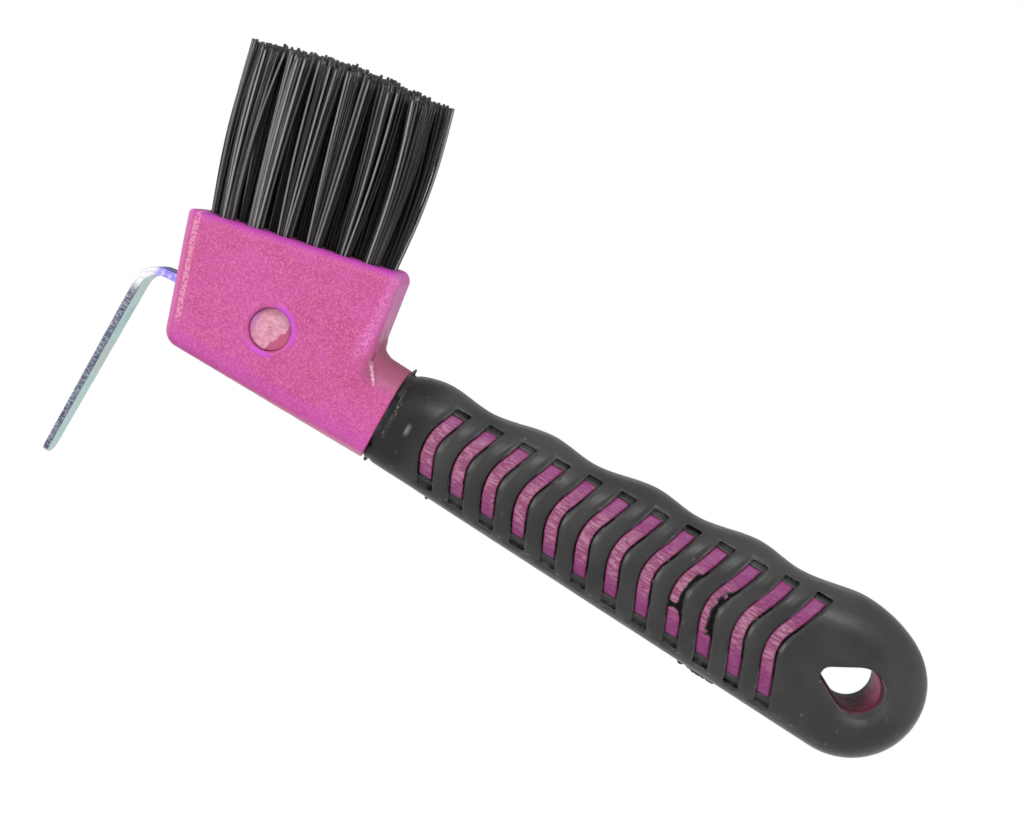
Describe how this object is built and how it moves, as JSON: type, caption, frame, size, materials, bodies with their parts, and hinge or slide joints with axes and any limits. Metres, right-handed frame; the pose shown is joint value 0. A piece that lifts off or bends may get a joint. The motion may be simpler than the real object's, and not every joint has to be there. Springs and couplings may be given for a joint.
{
  "type": "hoof pick",
  "caption": "Hoof pick with a stiff nylon brush on the head, a bent steel hook below it, and a soft ribbed grip over a plastic core, ending in a teardrop hanging eye",
  "frame": {"origin": "centre of the hanging eye's round part, at half the handle's thickness", "axes": "X along the handle, + towards the hanging end and - towards the head and hook; Y across the thickness; Z + the way the bristles point, - the way the hook points"},
  "size_m": [0.1858, 0.019, 0.1039],
  "materials": {
    "core_plastic": "satin moulded plastic, magenta pink",
    "grip_rubber": "matt black thermoplastic rubber",
    "hook_steel": "zinc-plated flat steel",
    "pin_plastic": "moulded plastic, paler pink, matt",
    "bristle_nylon": "black crimp-free nylon filament",
    "anchor_steel": "bright flat wire"
  },
  "bodies": {
    "root": {"head_core": "core_plastic", "grip": "grip_rubber", "hook": "hook_steel", "hook_pin": "pin_plastic", "anchor_left_1": "anchor_steel", "anchor_left_2": "anchor_steel", "anchor_left_3": "anchor_steel", "anchor_left_4": "anchor_steel", "anchor_left_5": "anchor_steel", "anchor_left_6": "anchor_steel", "anchor_middle_1": "anchor_steel", "anchor_middle_2": "anchor_steel", "anchor_middle_3": "anchor_steel", "anchor_middle_4": "anchor_steel", "anchor_middle_5": "anchor_steel", "anchor_middle_6": "anchor_steel", "anchor_middle_7": "anchor_steel", "anchor_right_1": "anchor_steel", "anchor_right_2": "anchor_steel", "anchor_right_3": "anchor_steel", "anchor_right_4": "anchor_steel", "anchor_right_5": "anchor_steel", "anchor_right_6": "anchor_steel"},
    "tufts_1": {"tuft_middle_1": "bristle_nylon"},
    "tufts_2": {"tuft_left_1": "bristle_nylon", "tuft_right_1": "bristle_nylon"},
    "tufts_3": {"tuft_middle_2": "bristle_nylon"},
    "tufts_4": {"tuft_left_2": "bristle_nylon", "tuft_right_2": "bristle_nylon"},
    "tufts_5": {"tuft_middle_3": "bristle_nylon"},
    "tufts_6": {"tuft_left_3": "bristle_nylon", "tuft_right_3": "bristle_nylon"},
    "tufts_7": {"tuft_middle_4": "bristle_nylon"},
    "tufts_8": {"tuft_left_4": "bristle_nylon", "tuft_right_4": "bristle_nylon"},
    "tufts_9": {"tuft_middle_5": "bristle_nylon"},
    "tufts_10": {"tuft_left_5": "bristle_nylon", "tuft_right_5": "bristle_nylon"},
    "tufts_11": {"tuft_middle_6": "bristle_nylon"},
    "tufts_12": {"tuft_left_6": "bristle_nylon", "tuft_right_6": "bristle_nylon"},
    "tufts_13": {"tuft_middle_7": "bristle_nylon"}
  },
  "joints": [
    {"name": "brush_flex", "type": "hinge", "parent": "root", "child": "tufts_1", "pos_m": [-0.16183, 0, 0.02452], "axis": [0, 1, 0], "range_deg": [-20, 20], "stiffness_Nm_per_rad": 0.046, "deforming": ["tuft_middle_1"]},
    {"name": "brush_flex_2", "type": "hinge", "parent": "root", "child": "tufts_2", "pos_m": [-0.15883, 0, 0.02515], "axis": [0, 1, 0], "range_deg": [-20, 20], "stiffness_Nm_per_rad": 0.092, "deforming": ["tuft_left_1", "tuft_right_1"]},
    {"name": "brush_flex_3", "type": "hinge", "parent": "root", "child": "tufts_3", "pos_m": [-0.15583, 0, 0.02579], "axis": [0, 1, 0], "range_deg": [-20, 20], "stiffness_Nm_per_rad": 0.046, "deforming": ["tuft_middle_2"]},
    {"name": "brush_flex_4", "type": "hinge", "parent": "root", "child": "tufts_4", "pos_m": [-0.15283, 0, 0.02642], "axis": [0, 1, 0], "range_deg": [-20, 20], "stiffness_Nm_per_rad": 0.092, "deforming": ["tuft_left_2", "tuft_right_2"]},
    {"name": "brush_flex_5", "type": "hinge", "parent": "root", "child": "tufts_5", "pos_m": [-0.14983, 0, 0.02705], "axis": [0, 1, 0], "range_deg": [-20, 20], "stiffness_Nm_per_rad": 0.046, "deforming": ["tuft_middle_3"]},
    {"name": "brush_flex_6", "type": "hinge", "parent": "root", "child": "tufts_6", "pos_m": [-0.14683, 0, 0.02768], "axis": [0, 1, 0], "range_deg": [-20, 20], "stiffness_Nm_per_rad": 0.092, "deforming": ["tuft_left_3", "tuft_right_3"]},
    {"name": "brush_flex_7", "type": "hinge", "parent": "root", "child": "tufts_7", "pos_m": [-0.14383, 0, 0.02831], "axis": [0, 1, 0], "range_deg": [-20, 20], "stiffness_Nm_per_rad": 0.046, "deforming": ["tuft_middle_4"]},
    {"name": "brush_flex_8", "type": "hinge", "parent": "root", "child": "tufts_8", "pos_m": [-0.14083, 0, 0.02895], "axis": [0, 1, 0], "range_deg": [-20, 20], "stiffness_Nm_per_rad": 0.092, "deforming": ["tuft_left_4", "tuft_right_4"]},
    {"name": "brush_flex_9", "type": "hinge", "parent": "root", "child": "tufts_9", "pos_m": [-0.13783, 0, 0.02958], "axis": [0, 1, 0], "range_deg": [-20, 20], "stiffness_Nm_per_rad": 0.046, "deforming": ["tuft_middle_5"]},
    {"name": "brush_flex_10", "type": "hinge", "parent": "root", "child": "tufts_10", "pos_m": [-0.13482, 0, 0.03021], "axis": [0, 1, 0], "range_deg": [-20, 20], "stiffness_Nm_per_rad": 0.092, "deforming": ["tuft_left_5", "tuft_right_5"]},
    {"name": "brush_flex_11", "type": "hinge", "parent": "root", "child": "tufts_11", "pos_m": [-0.13182, 0, 0.03085], "axis": [0, 1, 0], "range_deg": [-20, 20], "stiffness_Nm_per_rad": 0.046, "deforming": ["tuft_middle_6"]},
    {"name": "brush_flex_12", "type": "hinge", "parent": "root", "child": "tufts_12", "pos_m": [-0.12882, 0, 0.03148], "axis": [0, 1, 0], "range_deg": [-20, 20], "stiffness_Nm_per_rad": 0.092, "deforming": ["tuft_left_6", "tuft_right_6"]},
    {"name": "brush_flex_13", "type": "hinge", "parent": "root", "child": "tufts_13", "pos_m": [-0.12582, 0, 0.03211], "axis": [0, 1, 0], "range_deg": [-20, 20], "stiffness_Nm_per_rad": 0.046, "deforming": ["tuft_middle_7"]}
  ],
  "couplings": [
    {"joint": "brush_flex_2", "follows": "brush_flex", "ratio": 1},
    {"joint": "brush_flex_3", "follows": "brush_flex", "ratio": 1},
    {"joint": "brush_flex_4", "follows": "brush_flex", "ratio": 1},
    {"joint": "brush_flex_5", "follows": "brush_flex", "ratio": 1},
    {"joint": "brush_flex_6", "follows": "brush_flex", "ratio": 1},
    {"joint": "brush_flex_7", "follows": "brush_flex", "ratio": 1},
    {"joint": "brush_flex_8", "follows": "brush_flex", "ratio": 1},
    {"joint": "brush_flex_9", "follows": "brush_flex", "ratio": 1},
    {"joint": "brush_flex_10", "follows": "brush_flex", "ratio": 1},
    {"joint": "brush_flex_11", "follows": "brush_flex", "ratio": 1},
    {"joint": "brush_flex_12", "follows": "brush_flex", "ratio": 1},
    {"joint": "brush_flex_13", "follows": "brush_flex", "ratio": 1}
  ]
}
